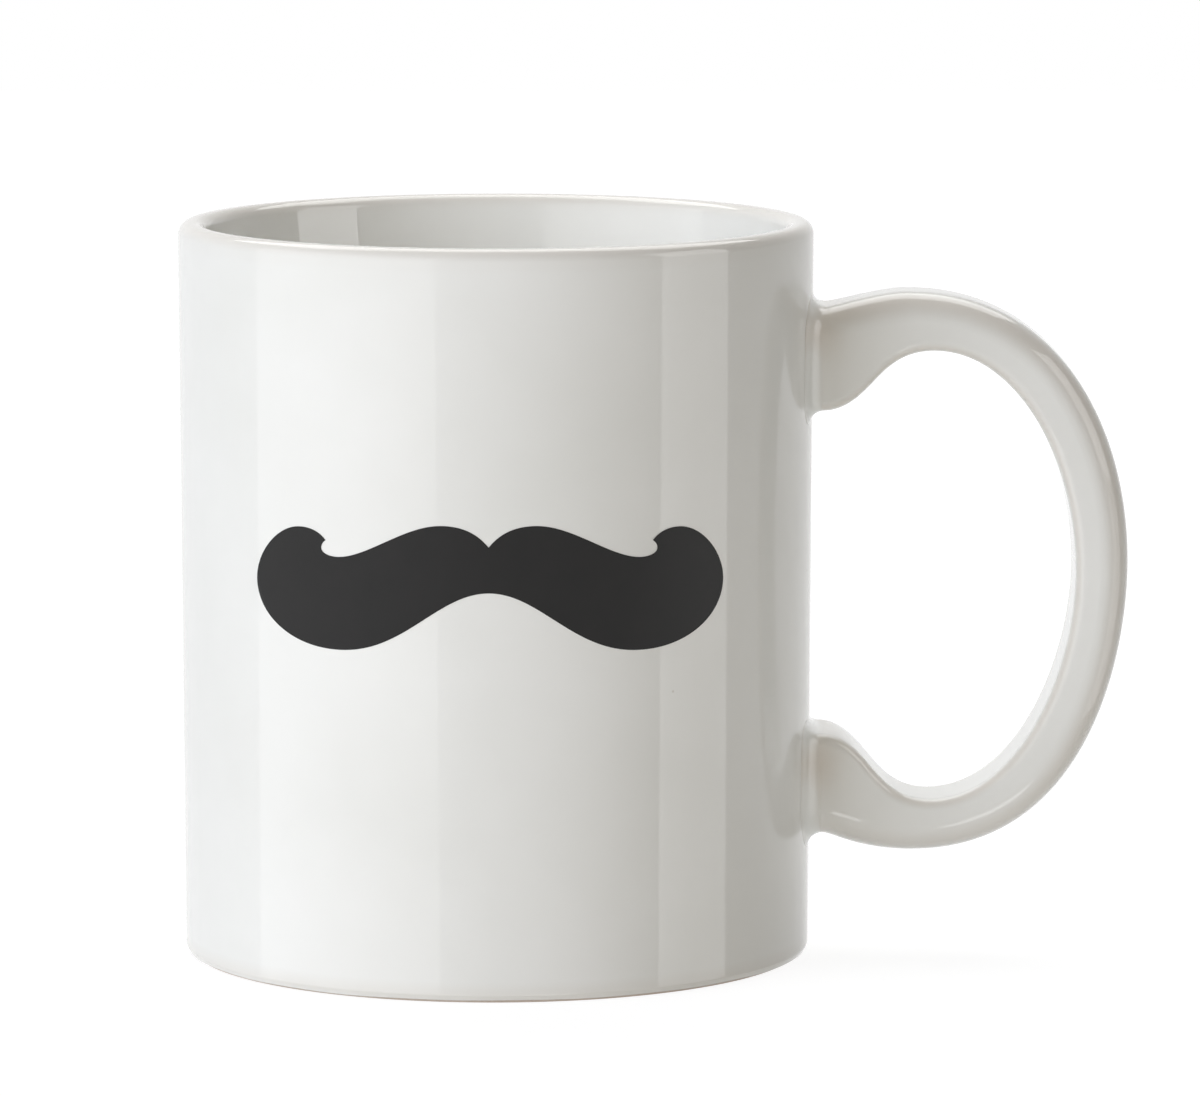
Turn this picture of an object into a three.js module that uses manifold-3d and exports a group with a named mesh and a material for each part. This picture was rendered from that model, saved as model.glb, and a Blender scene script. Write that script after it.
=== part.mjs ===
// Coffee mug: a straight-sided stoneware cup with a bowed strap handle luted on with slip. White glaze covers
// everything but the foot ring, and a moustache is printed on the front.
// Millimetres, +Z up. The origin is the middle of the mug's outline on the table, handle included.
// The handle points along +X and the print faces -Y.

import * as THREE from "three";
import { mergeVertices } from "three/addons/utils/BufferGeometryUtils.js";
import Module from "manifold-3d";

// Cup, measured over the glaze
const height = 95;
const rimRadius = 41;
const baseRadius = 40.5;
const rimWall = 3.4;
const lipFlat = 0.2; // level strip left along the crest of the rounded lip
const lipTaper = 13; // depth of the band below the rim in which the wall thins to the lip
const wall = 5.2;
const taperRadius = 30;
const floorThickness = 6.5;
const insideCorner = 8;

// Foot: a flat bare ring round a shallow glazed recess
const footRadius = 39.7;
const footWidth = 4.8;
const footEdge = 0.4;
const footRecess = 1.6;
const recessDraft = 1.4;
const recessCorner = 1.2;
const shoulderHeight = 1;
const shoulderRadius = 0.8;
const bareEdge = 0.4; // height of the clay left bare above the table

// Coats, and the clearances that keep neighbours apart
const glaze = 0.3;
const ink = 0.12;
const bondGap = 0.02; // hairline between pieces that are bonded face to face
const inkGap = 0.06; // print to glaze
const wallGap = 0.15; // slip to the wall's clay
const seamGap = 0.15; // edge of the cup's coat to edge of the handle's coat

// Handle, seen from the front: where its ends meet the wall
const rimToRoot = 10.8;
const tableToRoot = 15.7;
const rootDepth = 13.2;
const slipFilm = 0.6;
const slipFillet = 1.8;

// Handle: its strap
const handleWidth = 12.6;
const rootFlare = 4; // how much wider it is on the wall
const flareReach = 12; // how far off the wall the flare has faded out
const outerEdge = 3.8;
const innerEdge = 1.4;
const handleReach = 40.7; // rim to the outside of the bow
const bowStrap = 6.9;
const outerBowLift = 1.1; // height of the bow above the middle of the two crests
const innerBowLift = 0.1;
const upperCrest = { rise: 1.9, reach: 12.1, strap: 7.5, innerReach: 15.4 };
const lowerCrest = { drop: 2.4, reach: 12.9, strap: 6.9, innerReach: 15.1 };

// How full the handle's curves are: each handle of a curve as a share of the way to the curve's other end
const outerFullness = {
  neck: 0.08,
  upperBend: 0.36,
  upperCrest: 0.69,
  bowTop: 0.49,
  bowBottom: 0.33,
  lowerCrest: 0.82,
  lowerBend: 0.64,
};
const innerFullness = {
  neck: 0.4,
  upperBend: 0.55,
  upperCrest: 0.56,
  bowTop: 0.53,
  bowBottom: 0.41,
  lowerCrest: 0.64,
  lowerBend: 0.55,
};

// Print
const figureWidth = 58.8;
const figureHeight = 15.5;
const figureMiddle = 52.7; // height of its middle on the wall
const figureShift = -0.45;
const readingAngle = THREE.MathUtils.degToRad(7.6); // how far above level the eye is that it reads true to

// Fineness of the facets
const facets = 52;
const arcStep = Math.PI / 8;
const spanSteps = 6;
const edgeSteps = 3;
const filletSteps = 3;
const figureSteps = 5;
const endRings = [1 / 2];

const wasm = await Module();
wasm.setup();

// A closed geometry as a solid that can be cut.
function solid(geometry) {
  const bare = geometry.clone();
  bare.deleteAttribute("normal");
  bare.deleteAttribute("uv");
  const merged = mergeVertices(bare);
  const vertProperties = new Float32Array(merged.attributes.position.array);
  const triVerts = new Uint32Array(merged.index.array);
  return new wasm.Manifold(new wasm.Mesh({ numProp: 3, vertProperties, triVerts }));
}

function geometryOf(body) {
  const { vertProperties, triVerts } = body.getMesh();
  const geometry = new THREE.BufferGeometry();
  geometry.setAttribute("position", new THREE.BufferAttribute(vertProperties, 3));
  geometry.setIndex(new THREE.BufferAttribute(triVerts, 1));
  return geometry;
}

// Profiles are chains of corners { r, z, round } in the half plane beside the cup's axis.

// Moves a chain to its left by a distance, its roundings with it.
function offsetChain(chain, distance) {
  const points = chain.map(({ r, z }) => new THREE.Vector2(r, z));
  const ways = points.slice(1).map((point, i) => point.clone().sub(points[i]).normalize());
  return chain.map(({ round }, i) => {
    const before = ways[Math.max(i - 1, 0)];
    const after = ways[Math.min(i, ways.length - 1)];
    const turn = before.cross(after);
    const left = new THREE.Vector2(-before.y - after.y, before.x + after.x);
    left.multiplyScalar(distance / (1 + before.dot(after)));
    const { x: r, y: z } = points[i].clone().add(left);
    return { r, z, round: round - Math.sign(turn) * Math.sign(round) * distance };
  });
}

// Points along a chain, with an arc at each rounded corner.
function roundedPoints(chain) {
  const points = chain.map(({ r, z }) => new THREE.Vector2(r, z));
  return chain.flatMap(({ round }, i) => {
    if (!round) return [points[i]];
    const before = points[i].clone().sub(points[i - 1]).normalize();
    const after = points[i + 1].clone().sub(points[i]).normalize();
    const turn = Math.atan2(before.cross(after), before.dot(after));
    const side = Math.sign(turn);
    const tangent = round * Math.tan(Math.abs(turn) / 2);
    const start = points[i].clone().addScaledVector(before, -tangent);
    const toCentre = new THREE.Vector2(-before.y, before.x).multiplyScalar(side * round);
    const centre = start.clone().add(toCentre);
    const steps = Math.ceil(Math.abs(turn) / arcStep);
    return Array.from({ length: steps + 1 }, (_, step) =>
      start.clone().rotateAround(centre, (turn * step) / steps));
  });
}

function revolve(profile) {
  return new THREE.LatheGeometry(profile, facets).rotateX(Math.PI / 2);
}

// A coat whose outer face follows a chain and whose inner face stops a hairline off the clay below
function coat(chain) {
  const outside = roundedPoints(chain);
  const inside = roundedPoints(offsetChain(chain, glaze - bondGap));
  return revolve([...outside, ...inside.reverse(), outside[0]]);
}

const floorTop = footRecess + floorThickness;
const lipRadius = (rimWall - lipFlat) / 2;
const footInside = footRadius - footWidth;

function wallRadius(z) {
  return baseRadius + ((rimRadius - baseRadius) * (z - shoulderHeight)) / (height - shoulderHeight);
}

// The glazed face of the cup, from the glaze line above the foot, over the lip, to the middle of the floor
const shoulderFoot = footRadius + glaze;
const cupFace = [
  { r: shoulderFoot + ((baseRadius - shoulderFoot) * bareEdge) / shoulderHeight, z: bareEdge, round: 0 },
  { r: baseRadius, z: shoulderHeight, round: shoulderRadius },
  { r: rimRadius, z: height, round: lipRadius },
  { r: rimRadius - rimWall, z: height, round: lipRadius },
  { r: wallRadius(height - lipTaper) - wall, z: height - lipTaper, round: taperRadius },
  { r: baseRadius - wall, z: floorTop, round: insideCorner },
  { r: 0, z: floorTop, round: 0 },
];

// The glazed face of the underside, from its middle to the glaze line inside the foot ring
const recessFoot = footInside - glaze;
const baseFace = [
  { r: 0, z: footRecess, round: 0 },
  { r: recessFoot - recessDraft, z: footRecess, round: recessCorner },
  { r: recessFoot - (recessDraft * bareEdge) / footRecess, z: bareEdge, round: 0 },
];

// The cup's clay lies one glaze thickness inside both faces, and stands bare on its foot ring.
function clayBody() {
  const foot = [
    { r: footInside, z: 0, round: footEdge },
    { r: footRadius, z: 0, round: footEdge },
  ];
  const chain = [...offsetChain(baseFace, glaze), ...foot, ...offsetChain(cupFace, glaze)];
  return revolve(roundedPoints(chain));
}

// Rings of points are joined into a closed skin. Each four-sided patch is split along its shorter diagonal.
function loft(rings, closesOnItself = false) {
  const corners = [];
  const followed = closesOnItself ? rings : rings.slice(0, -1);
  followed.forEach((ring, i) => {
    const nextRing = rings[(i + 1) % rings.length];
    ring.forEach((a, k) => {
      const b = nextRing[k];
      const c = ring[(k + 1) % ring.length];
      const d = nextRing[(k + 1) % ring.length];
      corners.push(...(b.distanceTo(c) < a.distanceTo(d) ? [a, b, c, c, b, d] : [a, b, d, a, d, c]));
    });
  });
  if (signedVolume(corners) < 0) corners.reverse();
  return new THREE.BufferGeometry().setFromPoints(corners);
}

function signedVolume(corners) {
  let volume = 0;
  for (let i = 0; i < corners.length; i += 3) {
    volume += corners[i].dot(new THREE.Vector3().crossVectors(corners[i + 1], corners[i + 2])) / 6;
  }
  return volume;
}

// The strap's width at a distance off the wall
function strapWidth(off) {
  return handleWidth + rootFlare * Math.max(1 - off / flareReach, 0) ** 3;
}

// Outline of the strap as [depth, across] pairs, grown all round. Depth runs from the inner face.
function strapSection(depth, width, grow) {
  const corner = (radius, centreDepth, side, quarter) => Array.from({ length: edgeSteps + 1 }, (_, step) => {
    const angle = (Math.PI / 2) * (quarter + step / edgeSteps);
    const reach = radius + grow;
    const centreAcross = side * (width / 2 - radius);
    return [centreDepth + reach * Math.cos(angle), centreAcross + reach * Math.sin(angle)];
  });
  const corners = [
    corner(outerEdge, depth - outerEdge, 1, 0),
    corner(innerEdge, innerEdge, 1, 1),
    corner(innerEdge, innerEdge, -1, 2),
    corner(outerEdge, depth - outerEdge, -1, 3),
  ];
  return corners.flatMap((arc, i) => {
    const [fromDepth, fromAcross] = arc.at(-1);
    const [toDepth, toAcross] = corners[(i + 1) % corners.length][0];
    return [...arc, [(fromDepth + toDepth) / 2, (fromAcross + toAcross) / 2]];
  });
}

// The strap's section between a point of the inner rail and its fellow on the outer rail
function strapRing(inner, outer, grow) {
  const depthWay = outer.clone().sub(inner).normalize();
  const width = strapWidth((inner.x + outer.x) / 2 - rimRadius);
  return strapSection(outer.distanceTo(inner), width, grow).map(([depth, across]) => {
    const point = inner.clone().addScaledVector(depthWay, depth);
    return new THREE.Vector3(point.x, across, point.y);
  });
}

// The strap's end, as a ring that lies `rise` off the curved wall, drawn in towards its middle by a share
function rootRing(root, grow, rise, share = 1) {
  const upwards = Math.sign(root.outer - root.inner);
  const middle = (root.outer + root.inner) / 2;
  return strapSection(rootDepth, strapWidth(rise), grow).map(([depth, across]) => {
    const y = across * share;
    const z = middle + (root.inner + upwards * depth - middle) * share;
    return new THREE.Vector3(Math.sqrt((wallRadius(z) + rise) ** 2 - y ** 2), y, z);
  });
}

// Rings that close the strap's end, from its middle outwards
function endCap(root, grow, rise) {
  return [0, ...endRings].map((share) => rootRing(root, grow, rise, share));
}

// A concave fillet from the wall up to the strap, `inset` below its glazed face. An angle of 0 is flat on the
// wall and a quarter turn is flat on the strap.
function filletRings(root, inset, start, stop) {
  const radius = slipFillet + inset;
  return Array.from({ length: filletSteps + 1 }, (_, step) => {
    const angle = start + ((stop - start) * step) / filletSteps;
    return rootRing(root, slipFillet - radius * Math.sin(angle), slipFillet - radius * Math.cos(angle));
  });
}

// The slip's fillet stops short of the wall's clay and of the strap's clay by their gaps.
const clayFillet = slipFillet + glaze;
const slipStart = Math.acos(1 - wallGap / clayFillet);
const slipStop = Math.asin(1 - bondGap / clayFillet);

// Where the strap meets the wall
const upperRoot = { outer: height - rimToRoot, inner: height - rimToRoot - rootDepth };
const lowerRoot = { outer: tableToRoot, inner: tableToRoot + rootDepth };

const level = new THREE.Vector2(1, 0);
const upright = new THREE.Vector2(0, 1);

function span(from, fromWay, fromShare, to, toWay, toShare) {
  const run = to.clone().sub(from);
  const leave = run.clone().multiply(fromWay).multiplyScalar(fromShare);
  const arrive = run.clone().multiply(toWay).multiplyScalar(toShare);
  return new THREE.CubicBezierCurve(from, from.clone().add(leave), to.clone().sub(arrive), to);
}

// One edge of the strap in the X-Z plane, from the neck at the upper root to the neck at the lower one
function rail(upperEnd, upperTop, bow, lowerTop, lowerEnd, fullness) {
  const neck = (z) => new THREE.Vector2(wallRadius(z) + slipFillet, z);
  return [
    span(neck(upperEnd), level, fullness.neck, upperTop, level, fullness.upperBend),
    span(upperTop, level, fullness.upperCrest, bow, upright, fullness.bowTop),
    span(bow, upright, fullness.bowBottom, lowerTop, level, fullness.lowerCrest),
    span(lowerTop, level, fullness.lowerBend, neck(lowerEnd), level, fullness.neck),
  ];
}

const crestTop = upperRoot.outer + upperCrest.rise;
const crestBottom = lowerRoot.outer - lowerCrest.drop;
const bowMiddle = (crestTop + crestBottom) / 2;

const outerRail = rail(
  upperRoot.outer,
  new THREE.Vector2(rimRadius + upperCrest.reach, crestTop),
  new THREE.Vector2(rimRadius + handleReach, bowMiddle + outerBowLift),
  new THREE.Vector2(rimRadius + lowerCrest.reach, crestBottom),
  lowerRoot.outer,
  outerFullness,
);
const innerRail = rail(
  upperRoot.inner,
  new THREE.Vector2(rimRadius + upperCrest.innerReach, crestTop - upperCrest.strap),
  new THREE.Vector2(rimRadius + handleReach - bowStrap, bowMiddle + innerBowLift),
  new THREE.Vector2(rimRadius + lowerCrest.innerReach, crestBottom + lowerCrest.strap),
  lowerRoot.inner,
  innerFullness,
);

// The strap from neck to neck, `inset` below its glazed face
function strapRings(inset) {
  const along = (curves) => curves.flatMap((curve) => curve.getPoints(spanSteps).slice(1)).slice(0, -1);
  const outer = along(outerRail);
  return along(innerRail).map((inner, i) => strapRing(inner, outer[i], -inset));
}

const filmRise = slipFilm - glaze;

// The strap's clay ends on a film of slip, inside the fillets.
function clayHandle() {
  const end = (root) => [
    ...endCap(root, -glaze, filmRise),
    rootRing(root, -glaze, filmRise),
    rootRing(root, -glaze, slipFillet),
  ];
  return loft([...end(upperRoot), ...strapRings(glaze), ...end(lowerRoot).reverse()]);
}

// Slip under the end of the strap and wiped round it, lying on the wall's clay
function slipJoint(root) {
  const footGrow = slipFillet - clayFillet * Math.sin(slipStart);
  const pocketGrow = bondGap - glaze;
  const pocketRise = filmRise - bondGap;
  return loft([
    ...endCap(root, footGrow, wallGap - glaze),
    ...filletRings(root, glaze, slipStart, slipStop),
    rootRing(root, pocketGrow, pocketRise),
    ...endCap(root, pocketGrow, pocketRise).reverse(),
  ]);
}

// The coat over the strap and its fillets, a bent tube from wall to wall
function handleGlaze() {
  const face = (inset, start, stop) => {
    const end = (root) => [...filletRings(root, inset, start, stop), rootRing(root, -inset, slipFillet)];
    return [...end(upperRoot), ...strapRings(inset), ...end(lowerRoot).reverse()];
  };
  const outside = face(0, 0, slipStop);
  const inside = face(glaze - bondGap, slipStart, slipStop);
  return loft([...outside, ...inside.reverse()], true);
}

// The cup's coat, open where the handle's joints sit on the clay
function cupGlaze() {
  const grow = slipFillet + seamGap;
  const cutDepth = rimWall / 2;
  const opening = (root) => solid(loft([
    ...endCap(root, grow, -cutDepth),
    rootRing(root, grow, -cutDepth),
    rootRing(root, grow, cutDepth),
    ...endCap(root, grow, cutDepth).reverse(),
  ]));
  return geometryOf(solid(coat(cupFace)).subtract(opening(upperRoot)).subtract(opening(lowerRoot)));
}

// A moustache in a box one unit high and two wide, its right half drawn and its left half mirrored
function moustache() {
  const half = new THREE.Path();
  half.moveTo(0, 0.826); // parting
  half.bezierCurveTo(0.044, 0.929, 0.105, 1, 0.207, 1); // brow
  half.bezierCurveTo(0.357, 1, 0.517, 0.752, 0.639, 0.752); // dip
  half.bezierCurveTo(0.682, 0.752, 0.716, 0.786, 0.716, 0.827); // hollow under the curl
  half.bezierCurveTo(0.716, 0.852, 0.709, 0.874, 0.697, 0.887); // tip of the curl
  half.bezierCurveTo(0.718, 0.945, 0.76, 1, 0.818, 1); // top of the curl
  half.bezierCurveTo(0.912, 1, 1, 0.794, 1, 0.587); // outer end
  half.bezierCurveTo(1, 0.271, 0.837, 0, 0.614, 0); // lowest point
  half.bezierCurveTo(0.355, 0, 0.211, 0.458, 0, 0.458); // middle of the lower edge
  const right = half.getPoints(figureSteps);
  const left = right.slice(1, -1).reverse().map(({ x, y }) => new THREE.Vector2(-x, y));
  return [...right, ...left];
}

// The figure is carried along the reading direction onto a thin skin that follows the wall.
function printedMoustache() {
  const middle = figureMiddle * Math.cos(readingAngle) - wallRadius(figureMiddle) * Math.sin(readingAngle);
  const outline = moustache().map(({ x, y }) => new THREE.Vector2(
    figureShift + (x * figureWidth) / 2,
    middle + (y - 0.5) * figureHeight,
  ));
  const carry = { depth: 2 * rimRadius, bevelEnabled: false };
  const beam = new THREE.ExtrudeGeometry(new THREE.Shape(outline), carry);
  beam.rotateX(Math.PI / 2 - readingAngle);
  const bottom = figureMiddle - figureHeight;
  const top = figureMiddle + figureHeight;
  const skin = [
    new THREE.Vector2(wallRadius(bottom) + inkGap, bottom),
    new THREE.Vector2(wallRadius(bottom) + inkGap + ink, bottom),
    new THREE.Vector2(wallRadius(top) + inkGap + ink, top),
    new THREE.Vector2(wallRadius(top) + inkGap, top),
  ];
  return geometryOf(solid(beam).intersect(solid(revolve([...skin, skin[0]]))));
}

const whiteGlaze = { color: "#f3f3f0", roughness: 0.12, metalness: 0 };
const firedClay = { color: "#dccfc4", roughness: 0.85, metalness: 0 };
const firedSlip = { color: "#e4dacf", roughness: 0.8, metalness: 0 };
const darkInk = { color: "#323232", roughness: 0.4, metalness: 0 };

const mug = new THREE.Group();
mug.position.x = -handleReach / 2;

function addPiece(name, geometry, finish) {
  const piece = new THREE.Mesh(geometry, new THREE.MeshStandardMaterial(finish));
  piece.name = name;
  mug.add(piece);
}

addPiece("clay_body", clayBody(), firedClay);
addPiece("clay_handle", clayHandle(), firedClay);
addPiece("upper_slip_joint", slipJoint(upperRoot), firedSlip);
addPiece("lower_slip_joint", slipJoint(lowerRoot), firedSlip);
addPiece("cup_glaze", cupGlaze(), whiteGlaze);
addPiece("handle_glaze", handleGlaze(), whiteGlaze);
addPiece("base_glaze", coat(baseFace), whiteGlaze);
addPiece("moustache_print", printedMoustache(), darkInk);

const coffeeMug = new THREE.Group();
coffeeMug.add(mug);

export default coffeeMug;
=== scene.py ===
# Coffee mug: white glaze, bare clay and a printed moustache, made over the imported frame.
# Shapes are worked out in millimetres from the cup's axis, with the print facing -Y
# and the handle along +X. frameSkin turns them into the frame's metres.

import bmesh
import bpy
import numpy as np
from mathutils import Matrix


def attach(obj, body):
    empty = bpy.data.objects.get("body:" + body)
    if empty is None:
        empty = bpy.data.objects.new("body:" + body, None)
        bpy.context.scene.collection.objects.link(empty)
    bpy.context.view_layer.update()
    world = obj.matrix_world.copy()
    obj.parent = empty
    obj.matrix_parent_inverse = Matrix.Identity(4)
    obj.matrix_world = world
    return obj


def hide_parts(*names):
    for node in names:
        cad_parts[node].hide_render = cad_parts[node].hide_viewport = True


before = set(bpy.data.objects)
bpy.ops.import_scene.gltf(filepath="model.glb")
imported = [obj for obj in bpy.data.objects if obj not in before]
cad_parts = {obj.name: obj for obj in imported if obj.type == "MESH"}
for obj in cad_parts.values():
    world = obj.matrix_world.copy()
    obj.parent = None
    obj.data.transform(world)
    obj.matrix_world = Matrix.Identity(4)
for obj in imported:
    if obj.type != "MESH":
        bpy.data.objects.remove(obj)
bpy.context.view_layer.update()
print("frame:", len(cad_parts), "nodes")

cup = {
    "height": 95.0,
    "rimRadius": 41.0,
    "baseRadius": 40.5,
    "rimWall": 3.4,
    "lipRadius": 1.6,
    "lipTaper": 13.0,  # the band below the rim in which the wall thins to the lip
    "taperRadius": 30.0,
    "wall": 5.2,
    "floorTop": 8.1,
    "insideCorner": 8.0,
    "shoulderHeight": 1.0,
    "shoulderRadius": 0.8,
    "glaze": 0.3,
    "coatGap": 0.02,  # left between a coat and what it covers, so that the two skins don't meet
    "turns": 224,
}
foot = {
    "radius": 39.7,
    "width": 4.8,
    "edge": 0.4,
    "recess": 1.6,
    "recessDraft": 1.4,
    "recessCorner": 1.2,
    "bareEdge": 0.4,  # where the glaze was wiped off
    "wipeWave": 0.09,  # how far the wiped line wanders up and down
    "wipeFade": 1.0,  # how far above the line the wander has faded out, short of the recess's flat
    "wipeSines": ((3, 0.6, 0.45), (7, 2.1, 0.3), (16, 0.0, 0.25)),  # waves in a turn, phase and share
}
axisX = -20.35  # the cup's axis in the frame, mm
weldReach = 1e-6  # points nearer than this are one, metres
sharpTurn = 50.0  # edges of the slip and of the ink that turn by more than this stay sharp, degrees


def wallRadius(z):
    # outside radius at a height: a straight taper from shoulder to rim
    rise = (z - cup["shoulderHeight"]) / (cup["height"] - cup["shoulderHeight"])
    return cup["baseRadius"] + (cup["rimRadius"] - cup["baseRadius"]) * rise


def crowded(count):
    # shares from 0 to 1 that crowd at both ends by half a cosine,
    # so that flats meet arcs in short steps
    return (1 - np.cos(np.linspace(0, np.pi, count + 1))) / 2


def frameSkin(name, points, closedRows, closedColumns, marks=None, crease=180.0):
    # a grid of points (rows, columns, xyz in mm) becomes a mesh of quads, with the poles and seams
    # welded; marks are values per point, kept as attributes, and edges that turn past the crease
    # angle stay sharp
    rows, columns = points.shape[:2]
    index = np.arange(rows * columns).reshape(rows, columns)
    index = np.vstack([index, index[:1]]) if closedRows else index
    index = np.hstack([index, index[:, :1]]) if closedColumns else index
    quads = np.stack([index[:-1, :-1], index[1:, :-1], index[1:, 1:], index[:-1, 1:]], axis=-1)
    places = (points.reshape(-1, 3) + (axisX, 0, 0)) / 1000
    mesh = bpy.data.meshes.new(name)
    mesh.from_pydata(places.tolist(), [], quads.reshape(-1, 4).tolist())
    for mark, values in (marks or {}).items():
        layer = mesh.attributes.new(mark, "FLOAT", "POINT")
        layer.data.foreach_set("value", values.astype(np.float32).ravel())
    skin = bmesh.new()
    skin.from_mesh(mesh)
    bmesh.ops.remove_doubles(skin, verts=skin.verts, dist=weldReach)
    bmesh.ops.recalc_face_normals(skin, faces=skin.faces)
    skin.to_mesh(mesh)
    skin.free()
    mesh.shade_smooth()
    mesh.set_sharp_from_angle(angle=np.radians(crease))
    piece = bpy.data.objects.new(name, mesh)
    bpy.context.scene.collection.objects.link(piece)
    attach(piece, "root")
    print(name + ":", len(mesh.polygons), "faces")
    return piece


def offsetCorners(corners, distance):
    # every edge of the chain moves to its left by the distance, and each corner goes to where its
    # edges meet again
    corners = np.array(corners, float)
    ways = np.diff(corners[:, :2], axis=0)
    ways /= np.linalg.norm(ways, axis=1, keepdims=True)
    before = np.vstack([ways[:1], ways])
    after = np.vstack([ways, ways[-1:]])
    turn = before[:, 0] * after[:, 1] - before[:, 1] * after[:, 0]
    both = before + after
    left = np.stack([-both[:, 1], both[:, 0]], axis=1)
    moved = corners.copy()
    moved[:, :2] += left * distance / (1 + (before * after).sum(axis=1, keepdims=True))
    moved[:, 2] -= np.sign(turn) * np.sign(corners[:, 2]) * distance
    return moved


def roundedChain(corners, arcSteps=12, flatSteps=12):
    # a chain of corners (r, z, rounding): an arc at each rounded corner, and crowded points along
    # each flat
    corners = np.array(corners, float)
    arcs = [corners[:1, :2]]
    for last, here, following in zip(corners[:-2], corners[1:-1], corners[2:]):
        before = (here - last)[:2] / np.linalg.norm((here - last)[:2])
        after = (following - here)[:2] / np.linalg.norm((following - here)[:2])
        cross = before[0] * after[1] - before[1] * after[0]
        turn = np.arctan2(cross, before @ after)
        start = here[:2] - before * here[2] * np.tan(abs(turn) / 2)
        centre = start + np.sign(turn) * here[2] * np.array([-before[1], before[0]])
        angle = turn * np.linspace(0, 1, arcSteps + 1)[:, None]
        arm = start - centre
        arcs.append(centre + np.cos(angle) * arm + np.sin(angle) * np.array([-arm[1], arm[0]]))
    arcs.append(corners[-1:, :2])
    share = crowded(flatSteps)[1:-1, None]
    flats = [a[-1] + (b[0] - a[-1]) * share for a, b in zip(arcs[:-1], arcs[1:])]
    return np.vstack([part for pair in zip(arcs, flats) for part in pair] + [arcs[-1]])


def beadBetween(start, end, steps=8):
    # half a circle from one point round to the other: the edge of a coat, drawn round by the fire
    middle = (start + end) / 2
    arm = start - middle
    angle = np.linspace(0, np.pi, steps + 1)[1:-1, None]
    return middle + np.cos(angle) * arm + np.sin(angle) * np.array([-arm[1], arm[0]])


def revolved(profile, wave=0.0):
    # the profile (r, z) goes round the axis; near the foot its height wanders by three sines of the
    # turn, which fade out upwards, so that the wiped line isn't ruled
    turn = np.linspace(0, 2 * np.pi, cup["turns"], endpoint=False)[:, None]
    radius, height = profile[None, :, 0], profile[None, :, 1]
    wander = sum(share * np.sin(waves * turn + phase) for waves, phase, share in foot["wipeSines"])
    fade = np.clip(1 - (height - foot["bareEdge"]) / foot["wipeFade"], 0, 1) ** 2
    z = height + wave * wander * fade
    return np.stack([radius * np.sin(turn), -radius * np.cos(turn), z + 0 * turn], axis=-1)


shoulderFoot = foot["radius"] + cup["glaze"]
bareShare = foot["bareEdge"] / cup["shoulderHeight"]
taperFoot = cup["height"] - cup["lipTaper"]
cupFace = [
    (shoulderFoot + (cup["baseRadius"] - shoulderFoot) * bareShare, foot["bareEdge"], 0),
    (cup["baseRadius"], cup["shoulderHeight"], cup["shoulderRadius"]),
    (cup["rimRadius"], cup["height"], cup["lipRadius"]),
    (cup["rimRadius"] - cup["rimWall"], cup["height"], cup["lipRadius"]),
    (wallRadius(taperFoot) - cup["wall"], taperFoot, cup["taperRadius"]),
    (cup["baseRadius"] - cup["wall"], cup["floorTop"], cup["insideCorner"]),
    (0, cup["floorTop"], 0),
]
footInside = foot["radius"] - foot["width"]
recessFoot = footInside - cup["glaze"]
baseFace = [
    (0, foot["recess"], 0),
    (recessFoot - foot["recessDraft"], foot["recess"], foot["recessCorner"]),
    (recessFoot - foot["recessDraft"] * foot["bareEdge"] / foot["recess"], foot["bareEdge"], 0),
]
coatDepth = cup["glaze"] - cup["coatGap"]
dips = {
    "lip": 0.7,  # how strongly the lip is tinted: glaze run thin over it, with painted shade on its rounding
    "lipReach": 1.2,
    "lipInside": 2.0,  # points this far inside the rim count as the inside
    "shoulder": 0.35,
    "shoulderReach": 0.8,
    "hollowReach": 4.0,  # how far up the inside wall it pooled
    "base": 0.8,  # how deep it pooled in the recess's corner
    "baseReach": 1.5,
}


def bump(value, centre, width):
    # a smooth hump of height 1 round a centre
    return np.exp(-(((value - centre) / width) ** 2))


def glazeDepthAndShade(points):
    # where the glaze ran thin (-1) over an edge, or pooled (+1) in a hollow; over the lip the thin tint
    # is also painted shade
    height = points[..., 2]
    inside = np.hypot(points[..., 0], points[..., 1]) < cup["rimRadius"] - dips["lipInside"]
    lip = dips["lip"] * bump(height, cup["height"], dips["lipReach"])
    shoulder = dips["shoulder"] * bump(height, cup["shoulderHeight"], dips["shoulderReach"]) * ~inside
    hollow = bump(height, cup["floorTop"], dips["hollowReach"]) * inside
    return hollow - lip - shoulder


outside = roundedChain(cupFace)
under = roundedChain(offsetCorners(cupFace, coatDepth))[::-1]
cupLoop = np.vstack([under, beadBetween(under[-1], outside[0]), outside])
cupPoints = revolved(cupLoop, foot["wipeWave"])
cupCoat = frameSkin("cupCoat", cupPoints, True, False, {"glazeDepthAndShade": glazeDepthAndShade(cupPoints)})
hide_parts("cup_glaze")

outside = roundedChain(baseFace)
under = roundedChain(offsetCorners(baseFace, coatDepth))[::-1]
baseLoop = np.vstack([outside, beadBetween(outside[-1], under[0]), under])
basePoints = revolved(baseLoop, foot["wipeWave"])
baseOff = np.hypot(basePoints[..., 0], basePoints[..., 1])
basePool = dips["base"] * bump(baseOff, recessFoot - foot["recessDraft"], dips["baseReach"])
baseCoat = frameSkin("baseCoat", basePoints, True, False, {"glazeDepthAndShade": basePool})
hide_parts("base_glaze")

ring = [(footInside, 0, foot["edge"]), (foot["radius"], 0, foot["edge"])]
underBase, underCup = [offsetCorners(face, cup["glaze"]) for face in (baseFace, cupFace)]
clayChain = np.vstack([underBase, ring, underCup])
body = frameSkin("clayCup", revolved(roundedChain(clayChain)), True, False)
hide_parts("clay_body")

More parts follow.
